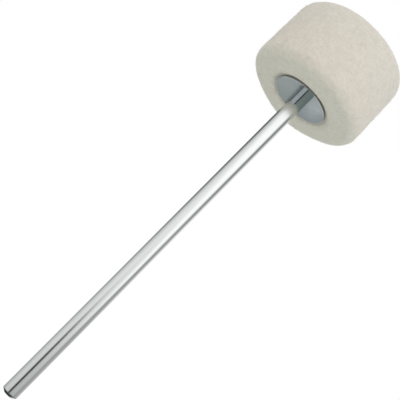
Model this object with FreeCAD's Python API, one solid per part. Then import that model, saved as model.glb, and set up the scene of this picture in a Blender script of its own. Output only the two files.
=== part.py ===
import FreeCAD, Part
import math
import os

# Bass drum beater: a cylinder of pressed felt, clamped between two wide washers on a plated steel shaft.
# The shaft stands along +Z with the centre of its lower end at the origin, and lengths are in millimetres.

# Shaft: a plain rod whose upper end is turned down to a stud, which leaves a shoulder for the head
shaft_diameter = 6.35
shaft_length = 158.5            # from the lower end to the shoulder
shaft_end_chamfer_height = 1.0
shaft_end_chamfer_width = 1.5
stud_diameter = 5.0
stud_end_chamfer = 0.6
stud_reach = 6.8                # how far the stud goes into the nut

# Washers: one pair, alike
washer_diameter = 25.4
washer_thickness = 1.0
washer_edge_chamfer = 0.2
washer_bore_clearance = 0.15    # on the radius, round the stud

# Felt head: a cylinder whose crowned ends swell a little past the washers that press into them
felt_diameter = 53.5
felt_height = 34.4              # over the crests of its two ends
felt_lower_rim_radius = 4.3
felt_upper_rim_radius = 4.4
felt_crown = 0.9                # how far an end falls back from its crest to its rim
washer_sink = 0.7               # depth of a washer's outer face below the crest round it
felt_lip_gap = 0.3              # from the washer's edge to the foot of the felt's lip
felt_lip_width = 2.6            # from the lip's foot to its crest
felt_bore_clearance = 0.05      # on the radius, round the sleeve

# Core sleeve: the spacer that takes the nut's pull and turns on the stud
sleeve_diameter = 8.0
sleeve_bore_clearance = 0.05    # on the radius, a running fit

# Lock washer: a split spring ring, drawn flat as it lies under the tight nut
lock_washer_diameter = 9.2
lock_washer_thickness = 1.2
lock_washer_bore_clearance = 0.1
lock_washer_slit = 0.8
lock_washer_slit_angle = 25.0   # degrees from upright

# Cap nut: a hexagon with a round dome over a blind hole
nut_across_flats = 8.0
nut_hexagon_height = 4.0
nut_height = 10.0
nut_dome_diameter = 7.5
nut_bore_clearance = 0.05
nut_bore_spare = 0.4            # free depth beyond the stud's tip
nut_mouth_chamfer = 0.5
nut_corner_angle = 30.0         # degrees, the bevel across the hexagon's corners
drill_point_angle = 118.0       # degrees, the whole cone

cut_overrun = 1.0               # how far a cutting shape reaches past what it cuts

# Radii and levels that follow from the sizes above
shaft_radius = shaft_diameter / 2
stud_radius = stud_diameter / 2
washer_radius = washer_diameter / 2
washer_bore_radius = stud_radius + washer_bore_clearance
felt_radius = felt_diameter / 2
sleeve_radius = sleeve_diameter / 2
sleeve_bore_radius = stud_radius + sleeve_bore_clearance
felt_bore_radius = sleeve_radius + felt_bore_clearance
lock_washer_radius = lock_washer_diameter / 2
lock_washer_bore_radius = stud_radius + lock_washer_bore_clearance
nut_dome_radius = nut_dome_diameter / 2
nut_corner_radius = nut_across_flats / 2 / math.cos(math.pi / 6)
nut_bore_radius = stud_radius + nut_bore_clearance
nut_bore_depth = stud_reach + nut_bore_spare

shoulder_level = shaft_length
lower_seat_level = shoulder_level + washer_thickness
felt_bottom_level = shoulder_level - washer_sink
felt_top_level = felt_bottom_level + felt_height
upper_seat_level = felt_top_level - washer_sink - washer_thickness
lock_washer_level = upper_seat_level + washer_thickness
nut_level = lock_washer_level + lock_washer_thickness
stud_top_level = nut_level + stud_reach

axis_point = FreeCAD.Vector(0, 0, 0)
axis_direction = FreeCAD.Vector(0, 0, 1)
across_direction = FreeCAD.Vector(1, 0, 0)


def at(radius, level):
    """A point of a half section, by its distance from the axis and its level."""
    return FreeCAD.Vector(radius, 0, level)


def straight(points):
    """The edges of the run of lines through the points."""
    return Part.makePolygon(points).Edges


def quarter_round(start, centre, end):
    """The edge of the arc about centre from start to end, which are a quarter turn apart."""
    middle = centre + (start + end - centre * 2) * math.sqrt(0.5)
    return Part.Arc(start, middle, end).toShape()


def turned(edges):
    """The solid that a closed half section sweeps in one turn about the axis."""
    section = Part.Face(Part.Wire(edges))
    return section.revolve(axis_point, axis_direction, 360)


def turned_outline(points):
    """The turned solid of a half section with straight sides."""
    return turned(straight(points + points[:1]))


def tube(outer_radius, inner_radius, bottom, top):
    """A plain round tube between two levels."""
    return turned_outline([at(inner_radius, bottom), at(outer_radius, bottom),
                           at(outer_radius, top), at(inner_radius, top)])


def make_shaft():
    """The rod with a bevelled lower end, its shoulder and the stud above it."""
    return turned_outline([
        at(0, 0),
        at(shaft_radius - shaft_end_chamfer_width, 0),
        at(shaft_radius, shaft_end_chamfer_height),
        at(shaft_radius, shoulder_level),
        at(stud_radius, shoulder_level),
        at(stud_radius, stud_top_level - stud_end_chamfer),
        at(stud_radius - stud_end_chamfer, stud_top_level),
        at(0, stud_top_level)])


def make_washer(bottom):
    """A flat washer with both outer edges broken, lying on the level given."""
    top = bottom + washer_thickness
    return turned_outline([
        at(washer_bore_radius, bottom),
        at(washer_radius - washer_edge_chamfer, bottom),
        at(washer_radius, bottom + washer_edge_chamfer),
        at(washer_radius, top - washer_edge_chamfer),
        at(washer_radius - washer_edge_chamfer, top),
        at(washer_bore_radius, top)])


def make_felt_head():
    """The felt: a bored cylinder with soft rims and crowned ends, each with a dished seat for a washer."""
    lip_foot = washer_radius + felt_lip_gap
    lip_crest = lip_foot + felt_lip_width
    lower_rim_level = felt_bottom_level + felt_crown
    upper_rim_level = felt_top_level - felt_crown
    lower_rim_centre = at(felt_radius - felt_lower_rim_radius, lower_rim_level + felt_lower_rim_radius)
    upper_rim_centre = at(felt_radius - felt_upper_rim_radius, upper_rim_level - felt_upper_rim_radius)
    lower_rim_start = at(lower_rim_centre.x, lower_rim_level)
    lower_rim_end = at(felt_radius, lower_rim_centre.z)
    upper_rim_start = at(felt_radius, upper_rim_centre.z)
    upper_rim_end = at(upper_rim_centre.x, upper_rim_level)
    inside = straight([
        upper_rim_end,
        at(lip_crest, felt_top_level),
        at(lip_foot, upper_seat_level),
        at(felt_bore_radius, upper_seat_level),
        at(felt_bore_radius, lower_seat_level),
        at(lip_foot, lower_seat_level),
        at(lip_crest, felt_bottom_level),
        lower_rim_start])
    lower_rim = quarter_round(lower_rim_start, lower_rim_centre, lower_rim_end)
    side = straight([lower_rim_end, upper_rim_start])
    upper_rim = quarter_round(upper_rim_start, upper_rim_centre, upper_rim_end)
    return turned(inside + [lower_rim] + side + [upper_rim])


def make_core_sleeve():
    """The spacer tube between the two washers."""
    return tube(sleeve_radius, sleeve_bore_radius, lower_seat_level, upper_seat_level)


def make_lock_washer():
    """The spring ring, slit through on a slant."""
    ring = tube(lock_washer_radius, lock_washer_bore_radius, lock_washer_level, nut_level)
    height = (lock_washer_thickness + cut_overrun * 2) / math.cos(math.radians(lock_washer_slit_angle))
    length = lock_washer_radius + cut_overrun
    middle = FreeCAD.Vector(0, 0, (lock_washer_level + nut_level) / 2)
    corner = middle - FreeCAD.Vector(0, lock_washer_slit / 2, height / 2)
    slit = Part.makeBox(length, lock_washer_slit, height, corner)
    slit.rotate(middle, across_direction, lock_washer_slit_angle)
    return ring.cut(slit)


def make_cap_nut():
    """The hexagon with bevelled corners, its dome and its blind hole."""
    base = FreeCAD.Vector(0, 0, nut_level)
    corner_run = nut_corner_radius - nut_across_flats / 2
    corner_drop = corner_run * math.tan(math.radians(nut_corner_angle))
    hexagon_top = nut_level + nut_hexagon_height
    corners = []
    for side in range(6):
        angle = side * math.pi / 3
        offset = FreeCAD.Vector(math.cos(angle), math.sin(angle), 0) * nut_corner_radius
        corners.append(base + offset)
    hexagon = Part.Face(Part.makePolygon(corners + corners[:1])).extrude(axis_direction * nut_hexagon_height)
    bevelled_blank = turned_outline([
        at(0, nut_level),
        at(nut_across_flats / 2, nut_level),
        at(nut_corner_radius, nut_level + corner_drop),
        at(nut_corner_radius, hexagon_top - corner_drop),
        at(nut_across_flats / 2, hexagon_top),
        at(0, hexagon_top)])
    dome_height = nut_height - nut_dome_radius
    dome_centre = base + axis_direction * dome_height
    neck = Part.makeCylinder(nut_dome_radius, dome_height, base)
    dome = Part.makeSphere(nut_dome_radius, dome_centre)
    point_height = nut_bore_radius / math.tan(math.radians(drill_point_angle / 2))
    hole = turned_outline([
        at(0, nut_level - cut_overrun),
        at(nut_bore_radius + nut_mouth_chamfer + cut_overrun, nut_level - cut_overrun),
        at(nut_bore_radius, nut_level + nut_mouth_chamfer),
        at(nut_bore_radius, nut_level + nut_bore_depth),
        at(0, nut_level + nut_bore_depth + point_height)])
    blank = hexagon.common(bevelled_blank).fuse([neck, dome]).removeSplitter()
    return blank.cut(hole)


pieces = {
    "shaft": make_shaft(),
    "lower_washer": make_washer(shoulder_level),
    "felt_head": make_felt_head(),
    "core_sleeve": make_core_sleeve(),
    "upper_washer": make_washer(upper_seat_level),
    "lock_washer": make_lock_washer(),
    "cap_nut": make_cap_nut(),
}

os.makedirs("parts", exist_ok=True)
for name, shape in pieces.items():
    solid = shape.Solids[0]
    solid.exportStep("parts/" + name + ".step")
    print(name, "volume", round(solid.Volume, 2), "valid", solid.isValid(), "solids", len(shape.Solids))
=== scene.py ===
import math

import bpy
import numpy as np
from mathutils import Matrix, Vector


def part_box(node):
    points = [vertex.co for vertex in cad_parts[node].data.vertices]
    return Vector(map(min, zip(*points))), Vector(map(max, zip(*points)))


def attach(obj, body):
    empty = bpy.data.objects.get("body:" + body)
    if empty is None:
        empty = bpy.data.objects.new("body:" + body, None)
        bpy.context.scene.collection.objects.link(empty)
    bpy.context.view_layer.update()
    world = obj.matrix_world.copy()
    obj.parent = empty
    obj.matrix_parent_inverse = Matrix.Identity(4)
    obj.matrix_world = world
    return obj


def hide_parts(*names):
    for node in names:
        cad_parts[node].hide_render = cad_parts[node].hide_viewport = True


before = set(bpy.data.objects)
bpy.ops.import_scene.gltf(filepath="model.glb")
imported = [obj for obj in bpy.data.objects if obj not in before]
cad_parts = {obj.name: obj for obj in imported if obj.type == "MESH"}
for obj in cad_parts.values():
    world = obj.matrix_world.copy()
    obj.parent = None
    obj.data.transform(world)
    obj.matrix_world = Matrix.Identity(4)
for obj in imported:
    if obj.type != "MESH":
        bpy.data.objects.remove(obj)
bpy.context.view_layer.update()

mm = 0.001
fullTurn = 2 * math.pi
scene = bpy.context.scene
scene.view_settings.view_transform = "Standard"


def turnedSize(node):    # widest radius, lowest level and highest level of a turned CAD node
    low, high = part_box(node)
    return max(high.x, high.y, -low.x, -low.y), low.z, high.z


# Meshes from grids

def meshPiece(name, verts, faces):
    mesh = bpy.data.meshes.new(name)
    mesh.from_pydata(verts.tolist(), [], faces)
    mesh.polygons.foreach_set("use_smooth", np.ones(len(mesh.polygons), dtype=bool))
    mesh.update()
    piece = bpy.data.objects.new(name, mesh)
    scene.collection.objects.link(piece)
    return piece


def gridSurface(name, points, startPole=None, endPole=None, joinRows=False):
    # points[row, column] is a grid whose columns close round on themselves. Rows close on
    # themselves too, or end in a pole vertex that is fanned to the first or last row, or stay open.
    rows, columns = points.shape[:2]
    ids = np.arange(rows * columns).reshape(rows, columns)
    if joinRows:
        ids = np.vstack([ids, ids[:1]])
    right = np.roll(ids, -1, axis=1)
    quads = np.stack([ids[:-1], right[:-1], right[1:], ids[1:]], axis=-1)
    faces = quads.reshape(-1, 4).tolist()
    verts = points.reshape(-1, 3)
    if startPole is not None:
        tip = np.full(columns, len(verts))
        faces += np.stack([tip, right[0], ids[0]], axis=-1).tolist()
        verts = np.vstack([verts, startPole])
    if endPole is not None:
        tip = np.full(columns, len(verts))
        faces += np.stack([tip, ids[-1], right[-1]], axis=-1).tolist()
        verts = np.vstack([verts, endPole])
    return meshPiece(name, verts, faces)


def softOutline(corners, rounds, steps, closed=False):
    # A line through (radius, height) corners. Each corner is swapped for an exact circular arc,
    # the rational quadratic with weight cos(half the turn), and gets a support point each side.
    longest = 0.45    # an arc's reach, at most, as a share of the shorter side
    support = 1.3    # a support point's distance from the corner, as a share of that reach
    pts = np.asarray(corners, float)
    order = range(len(pts)) if closed else range(1, len(pts) - 1)
    s = np.linspace(0, 1, steps)[:, None]
    line = [] if closed else [pts[:1]]
    for k in order:
        before, here, after = pts[k - 1], pts[k], pts[(k + 1) % len(pts)]
        back, ahead = before - here, after - here
        backLength, aheadLength = np.linalg.norm(back), np.linalg.norm(ahead)
        back, ahead = back / backLength, ahead / aheadLength
        turn = math.pi - math.acos(np.clip(back @ ahead, -1, 1))
        reach = min(rounds[k] * math.tan(turn / 2), longest * min(backLength, aheadLength))
        weight = math.cos(turn / 2)
        top = (1 - s) ** 2 * (here + back * reach) + s ** 2 * (here + ahead * reach)
        top = top + 2 * weight * s * (1 - s) * here
        arc = top / ((1 - s) ** 2 + 2 * weight * s * (1 - s) + s ** 2)
        line += [[here + back * reach * support], arc, [here + ahead * reach * support]]
    if not closed:
        line.append(pts[-1:])
    return np.vstack(line)


def evenSteps(line, step):    # a closed line with points at equal distances along it
    line = np.vstack([line, line[:1]])
    along = np.concatenate([[0], np.cumsum(np.linalg.norm(np.diff(line, axis=0), axis=1))])
    marks = np.linspace(0, along[-1], int(round(along[-1] / step)) + 1)[:-1]
    return np.stack([np.interp(marks, along, line[:, k]) for k in (0, 1)], axis=-1)


def anglesRound(around):
    return np.arange(around) * (fullTurn / around)


def turnedGrid(line, around):    # a (radius, height) line carried round the shaft's axis
    angle = anglesRound(around)
    radius, height = line[:, 0][:, None], line[:, 1][:, None]
    return np.stack([radius * np.cos(angle), radius * np.sin(angle), height + 0 * angle], axis=-1)


def softNoise(points, size, seed, waves=24, spread=(0.6, 1.5)):
    # A smooth bump field: the mean of sine waves of about one length in seeded directions.
    draw = np.random.default_rng(seed)
    direction = draw.normal(size=(waves, 3))
    direction /= np.linalg.norm(direction, axis=1)[:, None]
    number = direction * (fullTurn / size) * draw.uniform(*spread, waves)[:, None]
    phase = draw.uniform(0, fullTurn, waves)
    return np.sin(points @ number.T + phase).sum(axis=-1) / math.sqrt(waves)


def dress(piece, finish, body, slotName, *nodes):    # material, body, slot (not used), nodes it stands for
    piece.data.materials.append(finish)
    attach(piece, body)
    if nodes:
        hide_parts(*nodes)
    return piece


# Materials

class Wire:    # an output socket that Python's operators work on
    def __init__(self, finish, socket):
        self.finish, self.socket = finish, socket

    def math(self, operation, *others):
        return self.finish.node("ShaderNodeMath", {"operation": operation}, [self, *others])

    def __add__(self, other):
        return self.math("ADD", other)

    def __sub__(self, other):
        return self.math("SUBTRACT", other)

    def __rsub__(self, other):
        return self.finish.node("ShaderNodeMath", {"operation": "SUBTRACT"}, [other, self])

    def __mul__(self, other):
        return self.math("MULTIPLY", other)

    def __truediv__(self, other):
        return self.math("DIVIDE", other)

    def __pow__(self, other):
        return self.math("POWER", other)

    def __abs__(self):
        return self.math("ABSOLUTE")

    __radd__, __rmul__ = __add__, __mul__


class Finish:    # one material or world being put together
    def __init__(self, name, owner=None):
        self.owner = owner or bpy.data.materials.new(name)
        self.owner.use_nodes = True
        self.tree = self.owner.node_tree
        self.tree.nodes.clear()

    def node(self, kind, settings=None, sockets=None, out=0):
        made = self.tree.nodes.new(kind)
        for key, value in (settings or {}).items():
            if key == "stops":    # a grey ramp, as (place, level) pairs
                ramp = made.color_ramp.elements
                while len(ramp) < len(value):
                    ramp.new(0.5)
                for element, (place, level) in zip(ramp, value):
                    element.position = place
                    element.color = (level, level, level, 1)
            else:
                setattr(made, key, value)
        pairs = sockets.items() if isinstance(sockets, dict) else enumerate(sockets or [])
        for key, value in pairs:
            if isinstance(value, Wire):
                self.tree.links.new(value.socket, made.inputs[key])
            elif value is not None:
                made.inputs[key].default_value = value
        return Wire(self, made.outputs[out])

    def place(self):
        return self.node("ShaderNodeTexCoord", out="Object")

    def axes(self, vector):
        split = self.node("ShaderNodeSeparateXYZ", None, [vector])
        return [Wire(self, socket) for socket in split.socket.node.outputs]

    def noise(self, vector, perMetre, detail=2.0, rough=0.5, stretch=None, turn=None, out=0):
        if stretch:
            sockets = {"Vector": vector, "Rotation": turn, "Scale": stretch}
            vector = self.node("ShaderNodeMapping", {"vector_type": "POINT"}, sockets)
        sockets = {"Vector": vector, "Scale": perMetre, "Detail": detail, "Roughness": rough}
        return self.node("ShaderNodeTexNoise", None, sockets, out)

    def ridge(self, noise):    # noise folded about its middle level, which becomes 1
        return 1.0 - abs(noise * 2.0 - 1.0)

    def moved(self, operation, vector, by):    # by goes to the second vector, or to Scale
        key = 3 if operation == "SCALE" else 1
        return self.node("ShaderNodeVectorMath", {"operation": operation}, {0: vector, key: by})

    def ramp(self, stops, value):
        return self.node("ShaderNodeValToRGB", {"stops": stops}, [value])

    def blendColor(self, factor, first, second, way="MIX"):
        settings = {"data_type": "RGBA", "blend_type": way}
        return self.node("ShaderNodeMix", settings, {0: factor, 6: first, 7: second}, 2)

    def rise(self, value, low, high):    # 0 below low, 1 above high, a smooth step between
        settings = {"interpolation_type": "SMOOTHSTEP"}
        sockets = {0: value, 1: low, 2: high, 3: 0.0, 4: 1.0}
        return self.node("ShaderNodeMapRange", settings, sockets)

    def fall(self, value, low, high):    # 1 below low, 0 above high
        return 1.0 - self.rise(value, low, high)

    def between(self, value, riseEnds, fallEnds):
        return self.rise(value, *riseEnds) * self.fall(value, *fallEnds)

    def bump(self, height, look):
        sockets = {"Height": height, "Strength": look["bump"], "Distance": look["bumpDepth"]}
        return self.node("ShaderNodeBump", None, sockets)

    def surface(self, sockets):
        shader = self.node("ShaderNodeBsdfPrincipled", None, sockets)
        return self.outlet("ShaderNodeOutputMaterial", shader)

    def lit(self, tone, strength):
        lamp = self.node("ShaderNodeEmission", None, {"Color": tone, "Strength": strength})
        return self.outlet("ShaderNodeOutputMaterial", lamp)

    def outlet(self, kind, shader):
        made = self.tree.nodes.new(kind)
        self.tree.links.new(shader.socket, made.inputs["Surface"])
        return self.owner


def color(red, green, blue):
    return (red, green, blue, 1.0)


def distance(x, y):    # of two wires
    return (x * x + y * y) ** 0.5


# Names with Ends are the two levels between which a share goes from 0 to 1
# The high tones are the low ones under painted light from above, which pales the felt towards the
# top.
feltLook = {"lowLight": color(0.752, 0.688, 0.603), "lowShade": color(0.712, 0.648, 0.565),
            "highLight": color(0.759, 0.710, 0.631), "highShade": color(0.719, 0.671, 0.591),
            # the darkest colour is painted shade between fibres and in pits, and also the colour of
            # random flecks
            "gapShadeAndFleck": color(0.49, 0.44, 0.37), "paintedTopLightEnds": (160 * mm, 192 * mm),
            "mottle": 330, "mottleEnds": (0.3, 0.7), "pits": 1900, "pitEnds": (0.28, 0.46),
            "fleck": 820, "fleckEnds": (0.34, 0.66), "gapShadeShare": 0.7, "fleckShare": 0.22,
            "wander": 260, "wanderBy": 1.6 * mm, "fibreStretch": (5200, 5200, 700),
            "fibreTurns": [(0.3, 0.9, 0.2), (1.2, 0.1, 1.0), (2.1, 1.5, 0.5)], "fibreThin": 6.0,
            "fibreBump": 0.7, "pitBump": 0.5, "mottleBump": 0.3, "bump": 0.5, "bumpDepth": 0.2 * mm,
            "rough": 0.9, "fibreRough": 0.08, "sheen": 0.15, "sheenRough": 0.5, "specular": 0.2}


def feltFinish():
    # Pressed wool: slow mottling, over painted light from above that makes the felt a little paler
    # towards the top, plus three sets of stretched noise, folded to thin ridges, that read as
    # fibres lying in different directions. Where the bump is low, between the ridges and in pits,
    # the tone is pulled towards a painted shade, which random flecks also use. The ridges also
    # drive the bump.
    f, look = Finish("pressedFelt"), feltLook
    place = f.place()
    wander = f.noise(place, look["wander"], detail=1.0, out="Color")
    wander = f.moved("SCALE", f.moved("SUBTRACT", wander, (0.5, 0.5, 0.5)), look["wanderBy"])
    bent = f.moved("ADD", place, wander)
    tangle = None
    for turn in look["fibreTurns"]:
        strand = f.noise(bent, 1.0, detail=1.0, rough=0.4, stretch=look["fibreStretch"], turn=turn)
        ridge = f.ridge(strand) ** look["fibreThin"]
        tangle = ridge if tangle is None else tangle.math("MAXIMUM", ridge)
    mottle = f.rise(f.noise(place, look["mottle"], detail=4.0, rough=0.6), *look["mottleEnds"])
    pits = f.rise(f.noise(place, look["pits"], rough=0.6), *look["pitEnds"])
    fleck = f.rise(f.noise(place, look["fleck"], detail=3.0, rough=0.65), *look["fleckEnds"])
    # painted light from above: the felt's tone grows paler towards the top
    paintedTopLight = f.rise(f.axes(place)[2], *look["paintedTopLightEnds"])
    tone = f.blendColor(mottle, f.blendColor(paintedTopLight, look["lowShade"], look["highShade"]),
                        f.blendColor(paintedTopLight, look["lowLight"], look["highLight"]))
    # painted shade: darker where the bump is low, between the fibre ridges and in pits; random
    # flecks blend towards the same colour
    dark = (1.0 - tangle) * (1.0 - pits) * look["gapShadeShare"] + (1.0 - fleck) * look["fleckShare"]
    tone = f.blendColor(dark, tone, look["gapShadeAndFleck"])
    height = tangle * look["fibreBump"] + pits * look["pitBump"] + mottle * look["mottleBump"]
    return f.surface({"Base Color": tone, "Roughness": look["rough"] + tangle * look["fibreRough"],
                      "Sheen Weight": look["sheen"], "Sheen Roughness": look["sheenRough"],
                      "Specular IOR Level": look["specular"], "Normal": f.bump(height, look)})


chromeLook = {"plate": color(0.69, 0.71, 0.705), "smear": color(0.64, 0.65, 0.635),
              "smears": 70, "smearStretch": (1.0, 1.0, 0.35), "smearEnds": (0.35, 0.75),
              "smearShare": 0.08, "smearRough": 0.035, "lineStretch": (300, 300, 9000),
              "lineRough": 0.02, "bump": 0.04, "bumpDepth": 0.002 * mm, "drawnTurn": 0.25,
              "shaftRough": 0.10, "shaftDrawn": 0.9, "nutRough": 0.045, "nutDrawn": 0.0}


def chromeFinish(name, plain, drawn):
    # Bright plating with faint smears, and polishing lines that run round the axis. On ground stock
    # the lines also spread reflections along the axis, as much as drawn says.
    f, look = Finish(name), chromeLook
    place = f.place()
    smear = f.noise(place, look["smears"], detail=3.0, rough=0.6, stretch=look["smearStretch"])
    smear = f.rise(smear, *look["smearEnds"])
    lines = f.noise(place, 1.0, rough=0.6, stretch=look["lineStretch"])
    rough = plain + smear * look["smearRough"] + lines * look["lineRough"]
    tone = f.blendColor(smear * look["smearShare"], look["plate"], look["smear"])
    return f.surface({"Base Color": tone, "Metallic": 1.0, "Roughness": rough, "Anisotropic": drawn,
                      "Anisotropic Rotation": look["drawnTurn"], "Normal": f.bump(lines, look)})


# The outer wall's colour is its dull sheared tone together with painted shade of the gap to the
# felt.
washerLook = {"plate": color(0.69, 0.75, 0.745), "cloud": color(0.64, 0.715, 0.72),
              "shearAndGapShade": color(0.32, 0.31, 0.265), "clouds": 240, "cloudEnds": (0.3, 0.7),
              "rings": 7000.0, "ringWander": 60.0, "scratchStretch": (4500, 260, 260),
              "scratchTurn": (0.0, 0.0, 0.6), "scratchEnds": (0.93, 0.99),
              "wallEnds": (-0.09 * mm, -0.03 * mm), "rough": 0.03, "cloudRough": 0.02,
              "ringRough": 0.015, "scratchRough": 0.06, "wallRough": 0.35, "scratchBump": 0.6,
              "bump": 0.05, "bumpDepth": 0.01 * mm}


def washerFinish(edgeRadius):
    # Bluish plated steel: cloudy tone, fine rings round the axis, a few short scratches.
    # The sheared outer wall, at edgeRadius, is dull and dark: its own rough tone together with
    # painted shade of the gap between washer and felt.
    f, look = Finish("platedWasher"), washerLook
    place = f.place()
    x, y = f.axes(place)[:2]
    radius = distance(x, y)
    ringPlace = [radius * look["rings"], x * look["ringWander"], y * look["ringWander"]]
    ringPlace = f.node("ShaderNodeCombineXYZ", None, ringPlace)
    rings = f.noise(ringPlace, 1.0, detail=3.0, rough=0.6)
    cloud = f.rise(f.noise(place, look["clouds"], detail=4.0, rough=0.6), *look["cloudEnds"])
    scratch = f.noise(place, 1.0, detail=1.0, stretch=look["scratchStretch"],
                      turn=look["scratchTurn"])
    scratch = f.rise(f.ridge(scratch), *look["scratchEnds"])
    wall = f.rise(radius, *[edgeRadius + end for end in look["wallEnds"]])
    rough = look["rough"] + cloud * look["cloudRough"] + rings * look["ringRough"]
    rough = rough + scratch * look["scratchRough"] + wall * look["wallRough"]
    tone = f.blendColor(cloud, look["plate"], look["cloud"])
    # painted shade: the outer wall's own dull tone is darkened to stand in for the shadowed gap to
    # the felt
    tone = f.blendColor(wall, tone, look["shearAndGapShade"])
    return f.surface({"Base Color": tone, "Metallic": 1.0, "Roughness": rough,
                      "Normal": f.bump(rings - scratch * look["scratchBump"], look)})


springLook = {"plain": color(0.36, 0.365, 0.37), "worn": color(0.50, 0.505, 0.51), "rough": 0.28}
sleeveLook = {"plain": color(0.46, 0.46, 0.46), "worn": color(0.55, 0.55, 0.55), "rough": 0.3}
steelLook = {"patches": 420, "patchEnds": (0.4, 0.65), "patchRough": 0.06, "grains": 5200,
             "grainRough": 0.12, "bump": 0.12, "bumpDepth": 0.02 * mm}


def steelFinish(name, own):
    # Oiled spring or bush steel: a worn paler tone in patches over a darker one, grainy gloss.
    f, look = Finish(name), steelLook
    place = f.place()
    patch = f.rise(f.noise(place, look["patches"], detail=4.0, rough=0.6), *look["patchEnds"])
    grain = f.noise(place, look["grains"], detail=3.0, rough=0.6)
    rough = own["rough"] + grain * look["grainRough"] - patch * look["patchRough"]
    return f.surface({"Base Color": f.blendColor(patch, own["plain"], own["worn"]), "Metallic": 1.0,
                      "Roughness": rough, "Normal": f.bump(grain, look)})


shaftRadius, shaftFoot, studTop = turnedSize("shaft")
washerRadius, shoulder, lowerSeat = turnedSize("lower_washer")
felt = feltFinish()
shaftChrome = chromeFinish("shaftChrome", chromeLook["shaftRough"], chromeLook["shaftDrawn"])
capChrome = chromeFinish("capNutChrome", chromeLook["nutRough"], chromeLook["nutDrawn"])
washerPlate = washerFinish(washerRadius)
springSteel = steelFinish("springSteel", springLook)
sleeveSteel = steelFinish("sleeveSteel", sleeveLook)
print("materials ready")


# The shaft and its stud

shaftSize = {"bevelHeight": 1.0 * mm, "bevelWidth": 1.5 * mm, "bevelRound": 0.32 * mm,
             "stud": 2.5 * mm, "studBevel": 0.6 * mm, "edge": 0.1 * mm, "tip": 0.4 * mm,
             "arcSteps": 8, "around": 128}


def makeShaft():
    # The outline runs up from the foot's middle, over the bevel, up the rod, in at the shoulder
    # and up the stud, and is carried round the axis.
    s, r = shaftSize, shaftRadius
    corners = [(s["tip"], shaftFoot), (r - s["bevelWidth"], shaftFoot),
               (r, shaftFoot + s["bevelHeight"]), (r, shoulder), (s["stud"], shoulder),
               (s["stud"], studTop - s["studBevel"]), (s["stud"] - s["studBevel"], studTop),
               (s["tip"], studTop)]
    rounds = [0] + [s["bevelRound"]] * 2 + [s["edge"]] * 4 + [0]
    points = turnedGrid(softOutline(corners, rounds, s["arcSteps"]), s["around"])
    return gridSurface("shaft_rod", points, (0, 0, shaftFoot), (0, 0, studTop))


dress(makeShaft(), shaftChrome, "shaft", "chrome", "shaft")
print("shaft ready")


# The two washers

washerSize = {"bore": 2.65 * mm, "edge": 0.2 * mm, "rollWidth": 0.35 * mm, "rollHeight": 0.14 * mm,
              "rollRound": 0.7 * mm, "arcSteps": 8, "step": 0.16 * mm, "around": 192,
              "wave": 0.004 * mm, "waveSize": 14 * mm, "underSeed": 3, "overSeed": 4}


def makeWasher(name, low, high, seed):
    # An oblong section carried round the axis. Its outer edges roll off as on punched plate, and
    # both faces are off flat by a few microns.
    s = washerSize
    flat, roll = washerRadius - s["rollWidth"], s["rollHeight"]
    corners = [(s["bore"], low), (flat, low), (washerRadius, low + roll),
               (washerRadius, high - roll), (flat, high), (s["bore"], high)]
    rounds = [s["edge"], s["rollRound"], s["edge"]] * 2
    line = evenSteps(softOutline(corners, rounds, s["arcSteps"], True), s["step"])
    points = turnedGrid(line, s["around"])
    points[..., 2] += s["wave"] * softNoise(points, s["waveSize"], seed)
    return gridSurface(name, points, joinRows=True)


upperWasherLow, upperWasherHigh = turnedSize("upper_washer")[1:]
washerUnder = makeWasher("washer_under", shoulder, lowerSeat, washerSize["underSeed"])
washerOver = makeWasher("washer_over", upperWasherLow, upperWasherHigh, washerSize["overSeed"])
dress(washerUnder, washerPlate, "head", "washer_plate", "lower_washer")
dress(washerOver, washerPlate, "head", "washer_plate", "upper_washer")
print("washers ready")


# The felt head

feltRadius, feltLow, feltHigh = turnedSize("felt_head")
feltSize = {"bore": 4.05 * mm, "boreRound": 0.3 * mm, "lowerRim": 4.3 * mm, "upperRim": 4.4 * mm,
            "crown": 0.9 * mm, "taper": 0.3 * mm, "lipGap": 0.65 * mm, "lipSwell": 0.75 * mm,
            "lipWidth": 2.6 * mm, "lipRound": 2.2 * mm, "footRound": 0.2 * mm, "arcSteps": 24,
            "step": 0.5 * mm, "around": 352, "freeWidth": 2 * mm,
            "bumps": [(0.05 * mm, 24 * mm, 11), (0.03 * mm, 6 * mm, 12), (0.03 * mm, 1.8 * mm, 13)],
            "aside": 0.50 * mm, "sideShare": 0.9, "sag": 0.9 * mm, "sagReach": math.radians(80),
            "sagWaves": 2.7, "sagHeight": 10 * mm}
lipFoot = washerRadius + feltSize["lipGap"]
lipCrest = lipFoot + feltSize["lipWidth"]


def feltOutline():
    # Up the outside: from the bore along the lower seat, down the swollen lip round the washer, out
    # over the lower rim, up the side, in over the upper rim and down the upper lip to the bore.
    s = feltSize
    slope = s["crown"] / (feltRadius - s["lowerRim"] - lipCrest)
    fall = s["crown"] + slope * s["lowerRim"]
    lipBend = lipFoot + s["lipSwell"]
    corners = [(s["bore"], lowerSeat), (lipFoot, lowerSeat), (lipBend, shoulder),
               (lipCrest, feltLow), (feltRadius, feltLow + fall),
               (feltRadius - s["taper"], feltHigh - fall), (lipCrest, feltHigh),
               (lipBend, upperWasherHigh), (lipFoot, upperWasherLow), (s["bore"], upperWasherLow)]
    lip = [s["boreRound"], s["footRound"], s["lipRound"], s["lipRound"] * 2]
    rounds = lip + [s["lowerRim"], s["upperRim"]] + lip[::-1]
    return evenSteps(softOutline(corners, rounds, s["arcSteps"], True), s["step"])


def outwardOf(line):    # the outward direction (radial, axial) at each point of a closed outline
    tangent = np.roll(line, -1, axis=0) - np.roll(line, 1, axis=0)
    tangent /= np.linalg.norm(tangent, axis=1)[:, None]
    return np.stack([tangent[:, 1], -tangent[:, 0]], axis=-1)


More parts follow.
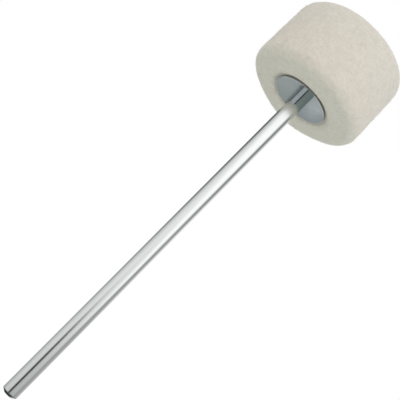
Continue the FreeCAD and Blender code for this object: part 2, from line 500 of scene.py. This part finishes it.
def handPressed(points):
    # Hand-pressed felt isn't quite true. Each point is moved towards +X, by nothing up to the lip's
    # crest, more beyond it along a smooth step, and the whole amount at the side. The lower rim
    # also sags at +Y: a cosine of the angle from +Y, which fades out to both sides and up the felt.
    s = feltSize
    x, y, z = np.moveaxis(points, -1, 0)
    share = np.clip((np.hypot(x, y) - lipCrest) / (feltRadius * s["sideShare"] - lipCrest), 0, 1)
    share = share ** 2 * (3 - 2 * share)
    angle = np.arctan2(x, y)
    fade = np.clip(1 - (angle / s["sagReach"]) ** 2, 0, 1) ** 2
    fade = fade * np.clip(1 - (z - feltLow) / s["sagHeight"], 0, 1)
    points[..., 2] -= s["sag"] * share * fade * np.cos(s["sagWaves"] * angle)
    points[..., 0] += s["aside"] * share
    return points


def makeFelt():
    # The outline carried round the axis, then pushed along its own outward direction by three
    # sizes of bump field. The seats and the bore, which touch other pieces, are left true.
    s = feltSize
    line = feltOutline()
    points = turnedGrid(line, s["around"])
    angle = anglesRound(s["around"])
    radial, axial = outwardOf(line).T[..., None]
    outward = [radial * np.cos(angle), radial * np.sin(angle), axial + 0 * angle]
    free = np.clip((line[:, 0] - lipFoot) / s["freeWidth"], 0, 1)[:, None]
    push = sum(height * softNoise(points, size, seed) for height, size, seed in s["bumps"])
    points += np.stack(outward, axis=-1) * (push * free)[..., None]
    return gridSurface("felt_pad", handPressed(points), joinRows=True)


napSize = {"count": 3600, "length": (0.7 * mm, 2.0 * mm), "rise": (0.15 * mm, 0.45 * mm),
           "bend": (-0.5 * mm, 0.5 * mm), "thick": (0.012 * mm, 0.022 * mm), "sunk": 0.08 * mm,
           "clear": 4.0 * mm, "marks": (0, 0.35, 0.7, 1.0), "taper": (1.0, 0.9, 0.6), "arch": 0.75,
           "seed": 21}


def makeNap():
    # Loose wool fibres: three-sided tapered tubes. Each starts sunk in the felt, rises along the
    # felt's outward direction by part of a sine wave, and runs off sideways with a bend that grows
    # as a square.
    s = napSize
    draw = np.random.default_rng(s["seed"])
    line = feltOutline()
    normal = outwardOf(line)
    chance = np.where(line[:, 0] > washerRadius + s["clear"], line[:, 0], 0)
    row = draw.choice(len(line), s["count"], p=chance / chance.sum())
    angle = draw.uniform(0, fullTurn, s["count"])
    ring = np.stack([np.cos(angle), np.sin(angle), 0 * angle], axis=-1)
    axis = np.array([0, 0, 1.0])
    outward = normal[row, :1] * ring + normal[row, 1:] * axis
    around = np.cross(axis, ring)
    heading = draw.uniform(0, fullTurn, (s["count"], 1))
    ahead = np.cos(heading) * around + np.sin(heading) * np.cross(outward, around)
    side = np.cross(outward, ahead)
    length, rise, bend, thick = [draw.uniform(*s[key], (s["count"], 1, 1))
                                 for key in ("length", "rise", "bend", "thick")]
    # the path of each fibre, at four marks along it
    share = np.array(s["marks"])[:, None]
    start = line[row, :1] * ring + line[row, 1:] * axis - s["sunk"] * outward
    lift = (s["sunk"] + rise) * np.sin(share * math.pi * s["arch"])
    path = start[:, None] + outward[:, None] * lift
    path = path + ahead[:, None] * length * share + side[:, None] * bend * share ** 2
    run = np.gradient(path, axis=1)
    run /= np.linalg.norm(run, axis=2)[..., None]
    wide = np.cross(side[:, None] + 0 * run, run)
    wide /= np.linalg.norm(wide, axis=2)[..., None]
    tall = np.cross(run, wide)
    # three rings of three points, and the tip
    corner = anglesRound(3)[:, None]
    spokes = np.cos(corner) * wide[:, :3, None] + np.sin(corner) * tall[:, :3, None]
    taper = np.array(s["taper"])[:, None, None]
    rings = path[:, :3, None] + spokes * (thick[..., None] * taper)
    verts = np.concatenate([rings.reshape(-1, 9, 3), path[:, 3:]], axis=1).reshape(-1, 3)
    here, after = np.arange(3), (np.arange(3) + 1) % 3
    walls = np.vstack([np.stack([here + k, after + k, after + k + 3, here + k + 3], axis=-1)
                       for k in (0, 3)])
    tips = np.vstack([np.stack([here + 6, after + 6, 0 * here + 9], axis=-1), [[2, 1, 0]]])
    first = np.arange(s["count"])[:, None, None] * 10
    faces = (walls + first).reshape(-1, 4).tolist() + (tips + first).reshape(-1, 3).tolist()
    return meshPiece("felt_nap", handPressed(verts), faces)


feltPad = dress(makeFelt(), felt, "head", "felt", "felt_head")
dress(makeNap(), felt, "head", "felt")
print("felt head ready")


# The lock washer and the cap nut

lockRadius, lockLow, lockHigh = turnedSize("lock_washer")
lockSize = {"bore": 2.6 * mm, "edge": 0.12 * mm, "slit": 0.8 * mm, "lean": math.radians(25),
            "arcSteps": 6, "along": 144}


def makeLockWasher():
    # A rounded oblong section carried round the axis from one side of a leaning slit to the other.
    # The start angle of each point of the section is set back with its height, by the slit's lean.
    s = lockSize
    corners = [(s["bore"], lockLow), (s["bore"], lockHigh), (lockRadius, lockHigh),
               (lockRadius, lockLow)]
    radius, height = softOutline(corners, [s["edge"]] * 4, s["arcSteps"], True).T
    half = s["slit"] / 2 / math.cos(s["lean"])
    lean = -math.tan(s["lean"]) * (height - (lockLow + lockHigh) / 2)
    start, end = (lean + half) / radius, fullTurn + (lean - half) / radius
    angle = start + (end - start) * np.linspace(0, 1, s["along"])[:, None]
    points = [radius * np.cos(angle), radius * np.sin(angle), height + 0 * angle]
    points = np.stack(points, axis=-1)
    return gridSurface("lock_ring", points, points[0].mean(axis=0), points[-1].mean(axis=0))


nutLow, nutTop = turnedSize("cap_nut")[1:]
nutSize = {"flats": 4.0 * mm, "hexHeight": 4.0 * mm, "dome": 3.75 * mm, "bore": 2.55 * mm,
           "mouth": 0.5 * mm, "boreTop": 7.2 * mm, "drillPoint": 1.3 * mm, "tip": 0.3 * mm,
           "cornerLean": math.radians(30), "boreRound": 0.1 * mm, "cornerRound": 0.15 * mm,
           "collarRound": 0.12 * mm, "arcSteps": 5, "domeSteps": 28, "domeShare": 0.97,
           "sharp": 90, "slack": 0.05 * mm, "around": 240}


def makeCapNut():
    # A turned outline (bore, bevelled base, bevelled collar, neck and dome) carried round the axis,
    # whose radius is held under the six flats by a soft minimum of the two.
    s = nutSize
    corner = s["flats"] / math.cos(math.pi / 6)
    drop = (corner - s["flats"]) * math.tan(s["cornerLean"])
    boreTop, hexTop, domeStart = nutLow + s["boreTop"], nutLow + s["hexHeight"], nutTop - s["dome"]
    corners = [(s["tip"], boreTop), (s["bore"], boreTop - s["drillPoint"]),
               (s["bore"], nutLow + s["mouth"]), (s["bore"] + s["mouth"], nutLow),
               (s["flats"], nutLow), (corner, nutLow + drop), (corner, hexTop - drop),
               (s["flats"], hexTop), (s["dome"], hexTop), (s["dome"], domeStart)]
    rounds = [0] + [s["boreRound"]] * 4 + [s["cornerRound"]] * 2 + [s["collarRound"]] * 2 + [0]
    line = softOutline(corners, rounds, s["arcSteps"])
    arc = np.linspace(0, math.pi / 2 * s["domeShare"], s["domeSteps"])
    dome = np.stack([s["dome"] * np.cos(arc), domeStart + s["dome"] * np.sin(arc)], axis=-1)
    line = np.vstack([line[:-1], dome])
    points = turnedGrid(line, s["around"])
    # the soft minimum, only on the hexagon
    flat = s["flats"] / np.cos(anglesRound(s["around"]) % (math.pi / 3) - math.pi / 6)
    turned = line[:, 0][:, None]
    held = flat * (1 + (flat / turned) ** s["sharp"]) ** (-1 / s["sharp"])
    onHex = (line[:, 1] < hexTop + s["slack"]) & (line[:, 0] > s["dome"] + s["slack"])
    share = np.where(onHex[:, None], held / turned, 1.0)
    points[..., :2] *= share[..., None]
    return gridSurface("cap_nut_shell", points, (0, 0, boreTop), (0, 0, nutTop))


dress(makeLockWasher(), springSteel, "shaft", "spring_steel", "lock_washer")
dress(makeCapNut(), capChrome, "shaft", "chrome", "cap_nut")
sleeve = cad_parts["core_sleeve"]    # hidden in the felt: the CAD node stays, in its own steel
sleeve.data.materials.clear()
sleeve.data.materials.append(sleeveSteel)
print("nut, lock washer and sleeve ready")


# Floor, light tent and camera

stageSize = {"floorLevel": -110 * mm, "floorRadius": 700 * mm, "floorRings": 24, "middle": 0.02,
             "cardLift": 1 * mm, "wallRadius": 800 * mm, "tentRadius": 850 * mm,
             "wallLow": -300 * mm, "wallHigh": 900 * mm, "wallRings": 9, "around": 96}


def stageDisc(name, level):    # rings of a flat disc round a centre pole, facing up
    s = stageSize
    radius = np.linspace(s["middle"], 1, s["floorRings"])[::-1] * s["floorRadius"]
    line = np.stack([radius, 0 * radius + level], axis=-1)
    disc = gridSurface(name, turnedGrid(line, s["around"]), endPole=(0, 0, level))
    return disc


def roundWall(name, radius):    # an open tube about the shaft's axis
    s = stageSize
    height = np.linspace(s["wallLow"], s["wallHigh"], s["wallRings"])
    line = np.stack([0 * height + radius, height], axis=-1)
    wall = gridSurface(name, turnedGrid(line, s["around"]))
    return wall


def onlyMirrored(piece):    # seen in polished surfaces, and lights nothing else
    piece.visible_camera = piece.visible_diffuse = False
    piece.visible_shadow = piece.visible_transmission = False


def turnOf(x, y):
    # 0.5 is towards the camera, more is to its right, 0 and 1 are behind the object
    return x.math("ARCTAN2", 0.0 - y) / fullTurn + 0.5


floorLook = {"grains": 900, "bounce": [color(0.745, 0.825, 0.795), color(0.775, 0.855, 0.825)],
             "seen": [color(0.86, 0.865, 0.865), color(0.89, 0.895, 0.895)],
             "rimEnds": (504 * mm, 686 * mm)}


def makeFloor():
    # A pale disc, a little greener in the light that it throws back than where the camera sees it.
    # The rim fades out into the white, and from below the floor doesn't show.
    floor = stageDisc("floor", stageSize["floorLevel"])
    f, look = Finish("paleFloor"), floorLook
    place = f.place()
    grain = f.noise(place, look["grains"], rough=0.6)
    seen = f.node("ShaderNodeLightPath", out="Is Camera Ray")
    tone = f.blendColor(seen, f.blendColor(grain, *look["bounce"]),
                        f.blendColor(grain, *look["seen"]))
    rim = f.rise(distance(*f.axes(place)[:2]), *look["rimEnds"])
    under = f.node("ShaderNodeNewGeometry", out="Backfacing")
    sheet = f.node("ShaderNodeBsdfDiffuse", None, {"Color": tone})
    clear = f.node("ShaderNodeBsdfTransparent")
    both = f.node("ShaderNodeMixShader", None, [rim.math("MAXIMUM", under), sheet, clear])
    floor.data.materials.append(f.outlet("ShaderNodeOutputMaterial", both))


# Names with Turn are in shares of a full turn, as turnOf gives it
cardLook = {"behindLeft": color(0.40, 0.415, 0.41), "behindRight": color(0.355, 0.36, 0.37),
            "behindEnds": (-20 * mm, 20 * mm),
            "glow": color(0.535, 0.545, 0.55), "glowX": 21 * mm, "glowY": 540 * mm,
            "glowWide": 13 * mm, "glowLong": 28 * mm, "glowEnds": (0.2, 1.4),
            "shade": color(0.30, 0.31, 0.31), "shadeEnds": (545 * mm, 595 * mm), "shadeShare": 0.6,
            "seam": color(0.08, 0.08, 0.09), "seamAcross": [(-12.5 * mm, -10 * mm), (-4 * mm, 0.0)],
            "seamEnds": (450 * mm, 500 * mm),
            "left": color(0.19, 0.20, 0.205), "leftTurn": [(0.025, 0.045), (0.22, 0.27)],
            "frontLeft": color(0.62, 0.62, 0.66), "frontLeftTurn": [(0.22, 0.27), (0.43, 0.44)],
            "near": color(0.36, 0.37, 0.40), "nearEnds": (515 * mm, 540 * mm), "nearShare": 0.7,
            "right": color(0.23, 0.265, 0.255), "rightTurn": [(0.47, 0.49), (0.90, 0.95)],
            "slot": color(0.03, 0.03, 0.03), "slotTurn": 0.46, "slotHalfTurn": (0.016, 0.026),
            "foot": color(0.04, 0.04, 0.04), "footBendEnds": (85 * mm, 125 * mm),
            "footBend": 80 * mm, "footAlong": [(25 * mm, 45 * mm), (240 * mm, 280 * mm)],
            "footAcross": [(-250 * mm, -200 * mm), (40 * mm, 70 * mm)],
            "strip": color(0.80, 0.81, 0.80), "stripHalf": (100 * mm, 140 * mm),
            "stripAlong": [(290 * mm, 320 * mm), (440 * mm, 480 * mm)]}


def makeMirrorCards():
    # What polished metal sees of the table: grey card, lighter in front on the left, with a black
    # slot in front. Behind the shaft's foot it has a black patch, which is narrower further back,
    # and then a pale strip. Far behind, where the lower washer looks, it has a dark seam, a paler
    # spot on the right and a shaded edge. Only reflections show it.
    cards = stageDisc("mirror_cards", stageSize["floorLevel"] + stageSize["cardLift"])
    f, look = Finish("mirrorCards"), cardLook
    x, y = f.axes(f.place())[:2]
    turn = turnOf(x, y)
    glowX, glowY = (x - look["glowX"]) / look["glowWide"], (y - look["glowY"]) / look["glowLong"]
    frontLeft = f.between(turn, *look["frontLeftTurn"])
    footLeft, footRight = look["footAcross"]
    footX = x + f.rise(y, *look["footBendEnds"]) * look["footBend"]
    shares = {
        "glow": f.fall(distance(glowX, glowY), *look["glowEnds"]),
        "shade": f.rise(y, *look["shadeEnds"]) * look["shadeShare"],
        "seam": f.between(x, *look["seamAcross"]) * f.rise(y, *look["seamEnds"]),
        "left": f.between(turn, *look["leftTurn"]),
        "frontLeft": frontLeft,
        "near": frontLeft * f.fall(distance(x, y), *look["nearEnds"]) * look["nearShare"],
        "right": f.between(turn, *look["rightTurn"]),
        "slot": f.fall(abs(turn - look["slotTurn"]), *look["slotHalfTurn"]),
        "foot": f.fall(footX, *footRight) * f.rise(x, *footLeft) * f.between(y, *look["footAlong"]),
        "strip": f.between(y, *look["stripAlong"]) * f.fall(abs(x), *look["stripHalf"])}
    tone = f.blendColor(f.rise(x, *look["behindEnds"]), look["behindLeft"], look["behindRight"])
    for name, share in shares.items():    # each patch lies over the ones before it
        tone = f.blendColor(share, tone, look[name])
    cards.data.materials.append(f.lit(tone, 1.0))
    onlyMirrored(cards)


wallLook = {"upper": [(0.0, 0.33), (0.07, 0.12), (0.14, 0.20), (0.19, 0.30), (0.23, 0.48),
                      (0.27, 0.62), (0.33, 0.70), (0.40, 0.78), (0.63, 0.80), (0.70, 0.42),
                      (0.75, 0.25), (0.785, 0.33), (0.84, 0.45), (1.0, 0.33)],
            "lower": [(0.0, 0.36), (0.14, 0.34), (0.21, 0.50), (0.26, 0.58), (0.33, 0.63),
                      (0.45, 0.62), (0.54, 0.47), (0.655, 0.465), (0.70, 0.36), (0.755, 0.33),
                      (0.87, 0.465), (1.0, 0.36)], "upperEnds": (-60 * mm, 100 * mm),
            "panel": color(1, 1, 1), "panelLean": 0.62, "panelLeftTurn": (0.655, 0.725),
            "panelRightTurn": (0.63, 0.68), "panelEnds": (30 * mm, 130 * mm),
            "pane": color(0.70, 0.70, 0.70), "paneTurn": [(0.77, 0.88), (0.95, 1.0)],
            "paneEnds": (20 * mm, 200 * mm), "paneFadeEnds": (250 * mm, 550 * mm), "paneFade": 0.45,
            "band": color(0.72, 0.72, 0.72), "bandTurn": (0.22, 0.32), "bandShare": 0.3,
            "bandHeight": [(-80 * mm, 60 * mm), (80 * mm, 360 * mm)],
            "dark": color(0.03, 0.03, 0.03), "dim": color(0.1, 0.1, 0.1),
            "lineTurn": 0.75, "lineHalfTurn": (0.010, 0.045), "lineEnds": (200 * mm, 500 * mm),
            "edgeTurn": (0.12, 0.32), "edgeEnds": (250 * mm, 520 * mm), "darkShare": 0.6,
            "slotTurn": 0.473, "slotHalfTurn": (0.026, 0.044), "slotEnds": (10 * mm, 100 * mm),
            "dimHalfTurn": (0.03, 0.11), "dimEnds": (30 * mm, 250 * mm), "dimShare": 0.25,
            "topLeft": color(0.58, 0.58, 0.58), "topRight": color(0.76, 0.76, 0.76),
            "topAcross": (-500 * mm, 500 * mm), "topEnds": (550 * mm, 680 * mm), "strength": 1.4}


def makeMirrorWall():
    # What polished metal sees of the room: a round wall about the shaft's axis. Its upper part is
    # pale in front and ends sharply on the right, where it has a white panel with a leaning edge
    # and, further round, a grey pane. Higher up it has a dark line on the right and a darker left
    # edge. The lower part is greyer, with a faint band on the left and, in front, a dark slot in a
    # dim zone that fades out upwards. The top is plain.
    wall = roundWall("mirror_wall", stageSize["wallRadius"])
    f, look = Finish("mirrorWall"), wallLook
    x, y, z = f.axes(f.place())
    turn = turnOf(x, y)
    panel = f.rise(turn + z * look["panelLean"], *look["panelLeftTurn"])
    panel = panel * f.fall(turn, *look["panelRightTurn"]) * f.rise(z, *look["panelEnds"])
    pane = f.between(turn, *look["paneTurn"]) * f.rise(z, *look["paneEnds"])
    pane = pane * (1.0 - f.rise(z, *look["paneFadeEnds"]) * look["paneFade"])
    band = f.fall(turn, *look["bandTurn"]) * f.between(z, *look["bandHeight"]) * look["bandShare"]
    line = f.fall(abs(turn - look["lineTurn"]), *look["lineHalfTurn"])
    line = line * f.rise(z, *look["lineEnds"])
    edge = f.fall(turn, *look["edgeTurn"]) * f.rise(z, *look["edgeEnds"])
    away = abs(turn - look["slotTurn"])
    dim = f.fall(away, *look["dimHalfTurn"]) * f.fall(z, *look["dimEnds"]) * look["dimShare"]
    slot = f.fall(away, *look["slotHalfTurn"]) * f.fall(z, *look["slotEnds"])
    level = f.blendColor(f.rise(z, *look["upperEnds"]), f.ramp(look["lower"], turn),
                         f.ramp(look["upper"], turn))
    for share, name in ((panel, "panel"), (pane, "pane"), (band, "band"),
                        (line.math("MAXIMUM", edge) * look["darkShare"], "dark"), (dim, "dim"),
                        (slot, "dark")):
        level = f.blendColor(share, level, look[name])
    top = f.blendColor(f.rise(x, *look["topAcross"]), look["topLeft"], look["topRight"])
    level = f.blendColor(f.rise(z, *look["topEnds"]), level, top)
    wall.data.materials.append(f.lit(level, look["strength"]))
    onlyMirrored(wall)


tentLook = {"levels": [(0.0, 0.82), (0.25, 0.76), (0.38, 0.95), (0.54, 1.36), (0.70, 1.0),
                       (0.78, 0.88), (1.0, 0.82)],
            "cool": color(0.97, 1.0, 1.06), "coolTurn": [(0.6, 0.76), (0.84, 0.98)],
            "strength": 1.0}


def makeTent():
    # The light itself: a round wall of plain lit cloth, brighter in front and cooler on the right.
    tent = roundWall("light_tent", stageSize["tentRadius"])
    f, look = Finish("tentCloth"), tentLook
    turn = turnOf(*f.axes(f.place())[:2])
    level = f.ramp(look["levels"], turn)
    cooled = f.blendColor(1.0, level, look["cool"], "MULTIPLY")
    level = f.blendColor(f.between(turn, *look["coolTurn"]), level, cooled)
    tent.data.materials.append(f.lit(level, look["strength"]))
    tent.visible_camera = tent.visible_glossy = False


def makeSky():
    # White all round for every kind of ray, so the background and the tent's open top are white.
    world = bpy.data.worlds.new("whiteRoom")
    scene.world = world
    f = Finish("whiteRoom", world)
    white = f.node("ShaderNodeBackground", None, [color(1, 1, 1), 1.0])
    f.outlet("ShaderNodeOutputWorld", white)


cameraFit = {"focal": 715.0, "imageSide": 400, "tilt": math.radians(14.67),
             "lean": math.radians(45.226), "washerPixel": (299.39, 100.49), "shaftPixels": 15.60,
             "sensor": 36.0, "clipStart": 10 * mm}


def makeCamera():
    # The shaft's direction in the camera's own axes is given by its lean in the picture and its
    # tilt away from the camera. The lower washer's middle is then put at its pixel, at the distance
    # that makes the shaft as many pixels wide as in the photograph.
    c = cameraFit
    tilt, lean, half = c["tilt"], c["lean"], c["imageSide"] / 2
    along = (math.cos(tilt) * math.cos(lean), math.cos(tilt) * math.sin(lean), -math.sin(tilt))
    along = Vector(along)
    front = (Vector((0, 0, 1)) - along * along.z).normalized()
    side = (-front).cross(along)
    depth = c["focal"] * 2 * shaftRadius / c["shaftPixels"]
    px, py = c["washerPixel"]
    middle = Vector((px - half, half - py, -c["focal"])) * (depth / c["focal"])
    turn = Matrix((side, -front, along))    # its rows are where X, Y and Z lie for the camera
    lens = bpy.data.cameras.new("photoCamera")
    lens.sensor_width = c["sensor"]
    lens.lens = c["sensor"] * c["focal"] / c["imageSide"]
    lens.clip_start = c["clipStart"]
    camera = bpy.data.objects.new("photoCamera", lens)
    scene.collection.objects.link(camera)
    place = Vector((0, 0, shoulder)) - turn @ middle
    camera.matrix_world = Matrix.Translation(place) @ turn.to_4x4()
    bpy.context.scene.camera = camera


makeFloor()
makeMirrorCards()
makeMirrorWall()
makeTent()
makeSky()
makeCamera()
print("stage and camera ready")

bpy.context.view_layer.update()
